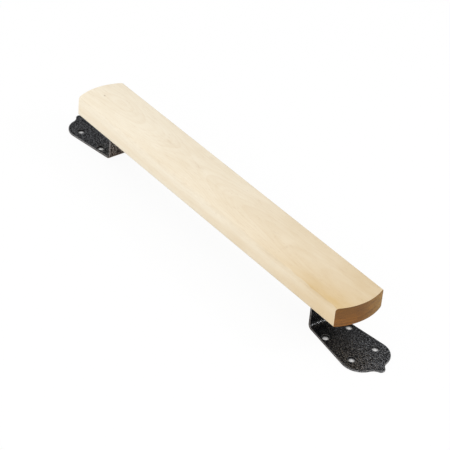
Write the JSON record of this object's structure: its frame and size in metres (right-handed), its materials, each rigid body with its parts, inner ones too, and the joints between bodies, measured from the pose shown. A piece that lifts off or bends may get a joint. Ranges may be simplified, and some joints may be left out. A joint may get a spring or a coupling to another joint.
{
  "type": "pull up bar",
  "caption": "Flat wooden pull-up bar with bowed ends, held off its mounting face by bent black steel brackets with lobed, drilled base plates.",
  "frame": {"origin": "on the mounting face, midway between the brackets, at the middle of the bounding box's bottom", "axes": "+X along the board, +Y across it, +Z away from the mounting face, from base plates to board"},
  "size_m": [0.7, 0.08, 0.079],
  "materials": {
    "wood": "pale close-grained hardwood, sanded, clear satin varnish",
    "hammered_paint": "glossy black hammered paint with a fine silvery fleck",
    "zinc_plate": "bright zinc plate"
  },
  "bodies": {
    "root": {"board": "wood", "bracket_left": "hammered_paint", "bracket_right": "hammered_paint", "screw_left_1": "zinc_plate", "screw_left_2": "zinc_plate", "screw_left_3": "zinc_plate", "screw_left_4": "zinc_plate", "screw_right_1": "zinc_plate", "screw_right_2": "zinc_plate", "screw_right_3": "zinc_plate", "screw_right_4": "zinc_plate"}
  },
  "joints": []
}
